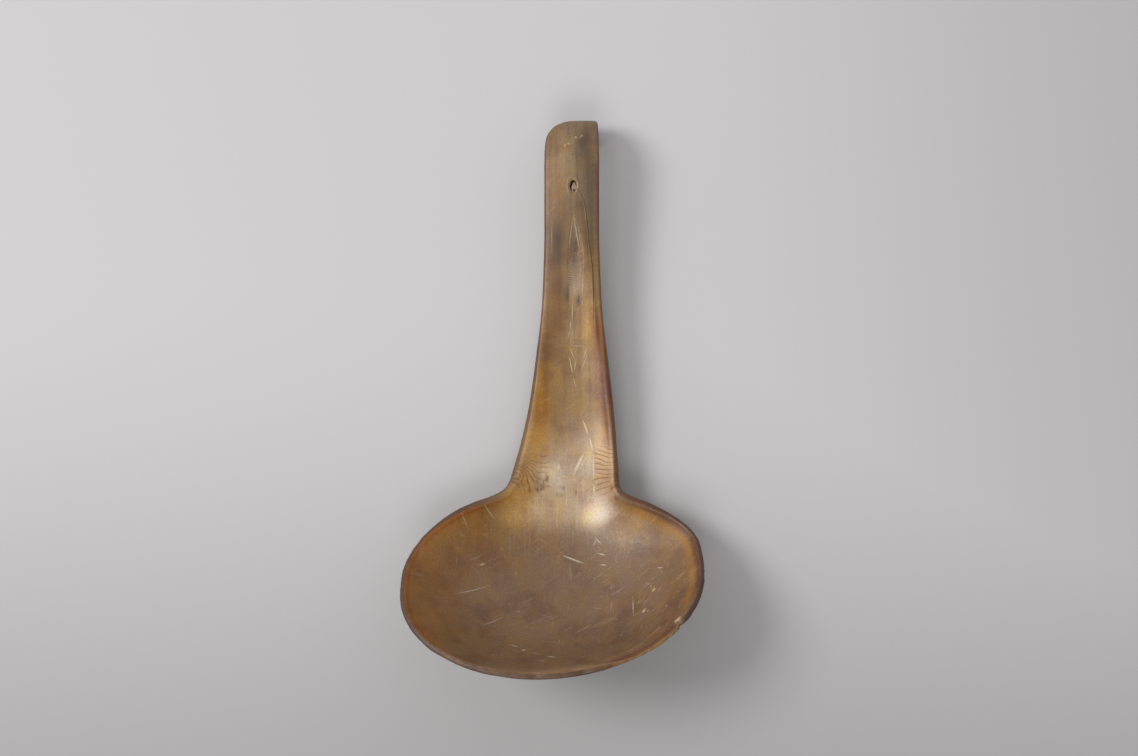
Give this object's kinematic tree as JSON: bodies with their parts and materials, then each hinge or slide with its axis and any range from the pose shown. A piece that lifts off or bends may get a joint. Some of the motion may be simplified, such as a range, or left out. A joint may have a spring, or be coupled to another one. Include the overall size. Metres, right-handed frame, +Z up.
{
  "type": "horn ladle",
  "caption": "Horn ladle with a broad oval bowl, a gutter-shaped handle and a hooked tip with a small pegged hole in the grip.",
  "frame": {"origin": "on the table, under the middle of the whole ladle's box, with the ladle at rest on its bowl and hook tip", "axes": "+Y from the bowl to the hook, +X to the right seen from above with the hook away, +Z up"},
  "size_m": [0.1084, 0.2082, 0.0568],
  "materials": {
    "horn": "satin",
    "peg": "matte"
  },
  "bodies": {
    "root": {"horn_body": "horn", "hole_peg": "peg"}
  },
  "joints": []
}
